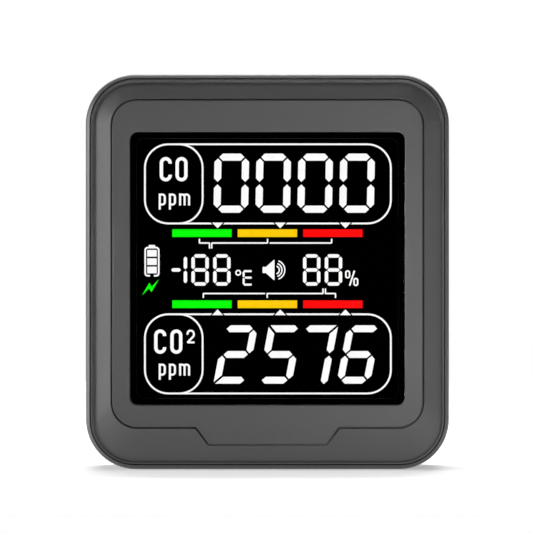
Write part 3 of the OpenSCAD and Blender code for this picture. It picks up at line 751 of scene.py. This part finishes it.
def degree_sign(finishes):
    """The degree ring, and a letter with all its segments lit: three bars joined on the left, as an E."""
    piece = FlatPiece("temperature_unit", "display_white")
    ring, ring_line = arc_path(x=-6.1, z=-0.88, radius=0.48, start_deg=0, end_deg=345), 0.29
    piece.line(ring, ring_line, closed=True)
    left, right, line = -4.97, -3.27, 0.43
    levels = (-0.54, -1.9, -3.36)
    middle_in = 0.25
    starts = (left, left + middle_in, left)
    stem_gap, blunt = 0.12, 0.1
    for z, start in zip(levels, starts):
        piece.fill(rectangle(start, right, z - line / 2, z + line / 2, line / 2 - END_SLACK))
    for top, low in zip(levels, levels[1:]):
        stem = rectangle(left - line / 2, left + line / 2, low + stem_gap, top - stem_gap, blunt)
        piece.fill(stem)
    piece.finish(finishes)


def percent_sign(finishes):
    piece = FlatPiece("humidity_unit", "display_white")
    half_w, half_h = 0.38, 0.7
    ring_line, stroke_line = 0.33, 0.34
    for x, z in ((16.78, -1.21), (18.48, -2.8)):
        ring = rectangle(x - half_w, x + half_w, z - half_h, z + half_h, half_w - END_SLACK)
        piece.line(ring, ring_line, closed=True)
    piece.line([Vector((17.19, -3.58)), Vector((18.2, -0.42))], stroke_line)
    piece.finish(finishes)


# ---------------------------------------------------------------- icons

def speaker_icon(finishes):
    """A horn, the same above and below its middle, and three sound waves."""
    piece = FlatPiece("speaker_icon", "display_white")
    middle = -0.3
    neck_half, mouth_half = 0.64, 2.1
    profile = (      # x, height from the middle, rounding
        (-1.01, neck_half, 0.12), (-0.3, neck_half, 0.1),
        (1.33, mouth_half, 0.12), (1.49, mouth_half, 0.08),
    )
    below = [(x, middle - h, r) for x, h, r in profile]
    above = [(x, middle + h, r) for x, h, r in reversed(profile)]
    piece.fill(rounded_path(below + above, closed=True))
    wave_x, wave_deg, wave_line = 1.62, 70, 0.26
    for radius in (0.86, 1.42, 2.02):
        piece.line(arc_path(wave_x, middle, radius, -wave_deg, wave_deg), wave_line)
    piece.finish(finishes)


def battery_icon(finishes):
    """A case that is open at the bottom, its cap, and three cells."""
    piece = FlatPiece("battery_icon", "display_white")
    x0, x1, z0, z1 = -25.54, -22.72, -1.5, 4.38
    r, opening_half, line = 0.55, 0.4, 0.35
    middle = (x0 + x1) / 2
    piece.line(rounded_path([
        (middle + opening_half, z0), (x1, z0, r), (x1, z1, r),
        (x0, z1, r), (x0, z0, r), (middle - opening_half, z0),
    ]), line)
    cap_half, cap_h, cap_r = 0.68, 0.55, 0.15
    piece.fill(rectangle(middle - cap_half, middle + cap_half, z1, z1 + cap_h, cap_r))
    cell_w, cell_h, cell_r, cell_z, pitch = 1.98, 1.39, 0.05, -1.0, 1.75
    for i in range(3):
        low = cell_z + i * pitch
        piece.fill(rectangle(middle - cell_w / 2, middle + cell_w / 2, low, low + cell_h, cell_r))
    piece.finish(finishes)


def charge_icon(finishes):
    """A bolt of lightning."""
    piece = FlatPiece("charge_icon", "display_green")
    corners = (
        (-24.19, -3.78), (-24.67, -2.95), (-26.2, -5.58), (-24.8, -4.2), (-24.19, -4.89), (-22.69, -2.24),
    )
    piece.fill([Vector(corner) for corner in corners])
    piece.finish(finishes)


# ---------------------------------------------------------------- the whole display

INK_INSET = 1.33         # from the pane's edge to the ink's outer edge, just inside the opening behind it
INK_W = 0.7
INK_R = 1.4
INK_BACK = WINDOW_HIGH.y + 0.04 * MM


def ink_border(finishes):
    """Black ink round the back of the pane, which hides the walls of the opening behind it."""
    piece = FlatPiece("window_ink_border", "black_adhesive", INK_BACK)
    inset = INK_INSET + INK_W / 2
    half_w = (WINDOW_HIGH.x - WINDOW_LOW.x) / MM / 2 - inset
    half_h = (WINDOW_HIGH.z - WINDOW_LOW.z) / MM / 2 - inset
    piece.line(rectangle(-half_w, half_w, -half_h, half_h, INK_R), INK_W, closed=True)
    piece.finish(finishes)


def make_display(finishes):
    ink_border(finishes)
    panel(finishes, "upper", UPPER_Z, 1)
    panel(finishes, "lower", LOWER_Z, -1)
    level_bars(finishes, "upper", UPPER_BAR_Z)
    level_bars(finishes, "lower", LOWER_BAR_Z)
    readings(finishes)
    labels(finishes)
    degree_sign(finishes)
    percent_sign(finishes)
    speaker_icon(finishes)
    battery_icon(finishes)
    charge_icon(finishes)
    brackets(finishes)


# ---------------------------------------------------------------- stage and light

FLOOR_MIDDLE = (0, 0.28, 0)
FLOOR_RADIUS = 0.47
FLOOR_SIDES = 96

WORLD_LIGHT = 0.025      # the world's strength as a light, against 1 where the camera sees it
DARK_Y, LIT_Y = -0.98, -0.55     # directions between which that light comes up from nothing

LIGHT_AIM = (0, -0.012, 0.041)
CASE_MIDDLE = (0, 0, 0.041)
SOFTBOX_SPREAD = 160     # degrees


def make_stage():
    bpy.ops.mesh.primitive_circle_add(
        vertices=FLOOR_SIDES, radius=FLOOR_RADIUS, fill_type="NGON", location=FLOOR_MIDDLE)
    floor = bpy.context.object
    floor.name = "stage_floor"
    floor.data.materials.append(pale_floor())


def make_world():
    """Pale all round, but dark as a light in front, so that the window stays black."""
    world = bpy.data.worlds.new("studio")
    bpy.context.scene.world = world
    world.use_nodes = True
    nodes, links = world.node_tree.nodes, world.node_tree.links
    split = nodes.new("ShaderNodeSeparateXYZ")
    links.new(nodes.new("ShaderNodeTexCoord").outputs["Generated"], split.inputs[0])
    dim = nodes.new("ShaderNodeMapRange")
    links.new(split.outputs["Y"], dim.inputs["Value"])
    dim.inputs["From Min"].default_value = DARK_Y
    dim.inputs["From Max"].default_value = LIT_Y
    dim.inputs["To Min"].default_value = 0.0
    dim.inputs["To Max"].default_value = WORLD_LIGHT
    light = nodes["Background"]
    light.inputs["Color"].default_value = WHITE
    links.new(dim.outputs["Result"], light.inputs["Strength"])
    backdrop = nodes.new("ShaderNodeBackground")
    backdrop.inputs["Color"].default_value = WHITE
    backdrop.inputs["Strength"].default_value = 1.0
    mix = nodes.new("ShaderNodeMixShader")
    links.new(nodes.new("ShaderNodeLightPath").outputs["Is Camera Ray"], mix.inputs[0])
    links.new(light.outputs[0], mix.inputs[1])
    links.new(backdrop.outputs[0], mix.inputs[2])
    links.new(mix.outputs[0], nodes["World Output"].inputs["Surface"])


def softbox(name, place, target, size, power, spread_deg=SOFTBOX_SPREAD):
    """An area light aimed at target. size is its width and height, and power is in watts."""
    data = bpy.data.lights.new(name, "AREA")
    data.shape = "RECTANGLE"
    data.size, data.size_y = size
    data.energy = power
    data.spread = math.radians(spread_deg)
    lamp = bpy.data.objects.new(name, data)
    lamp.location = place
    lamp.rotation_euler = (Vector(target) - Vector(place)).to_track_quat("-Z", "Y").to_euler()
    lamp.visible_camera = False
    bpy.context.scene.collection.objects.link(lamp)


def make_lights():
    """Side light from the left for the bevels, and light from above and behind for the floor and the top.

    A narrow beam falls on the floor in front of the base. A small card close in front, on the right,
    gives the face its slow rise in tone.
    """
    softbox("left_softbox", (-0.6, -0.05, 0.06), LIGHT_AIM, (0.25, 0.4), 3.5)
    softbox("right_back_softbox", (0.5, 0.3, 0.1), LIGHT_AIM, (0.25, 0.4), 0.3)
    softbox("top_back_softbox", (0, 0.35, 0.6), CASE_MIDDLE, (0.5, 0.3), 2.4)
    softbox("top_softbox", (0, -0.02, 0.7), CASE_MIDDLE, (0.5, 0.3), 0.85)
    softbox("near_card", (0.06, -0.16, 0.036), (0.03, -0.012, 0.036), (0.03, 0.06), 0.066)
    softbox("floor_beam", (0.05, -0.2, 0.5), (0.05, -0.14, 0), (0.4, 0.02), 0.25, spread_deg=20)
    softbox("back_softbox", (0, 0.7, 0.5), (0, 0.2, 0), (0.6, 0.3), 3.0)


def main():
    make_camera()
    finishes = make_finishes()
    dress_cad_nodes(finishes)
    make_display(finishes)
    make_stage()
    make_world()
    make_lights()


main()
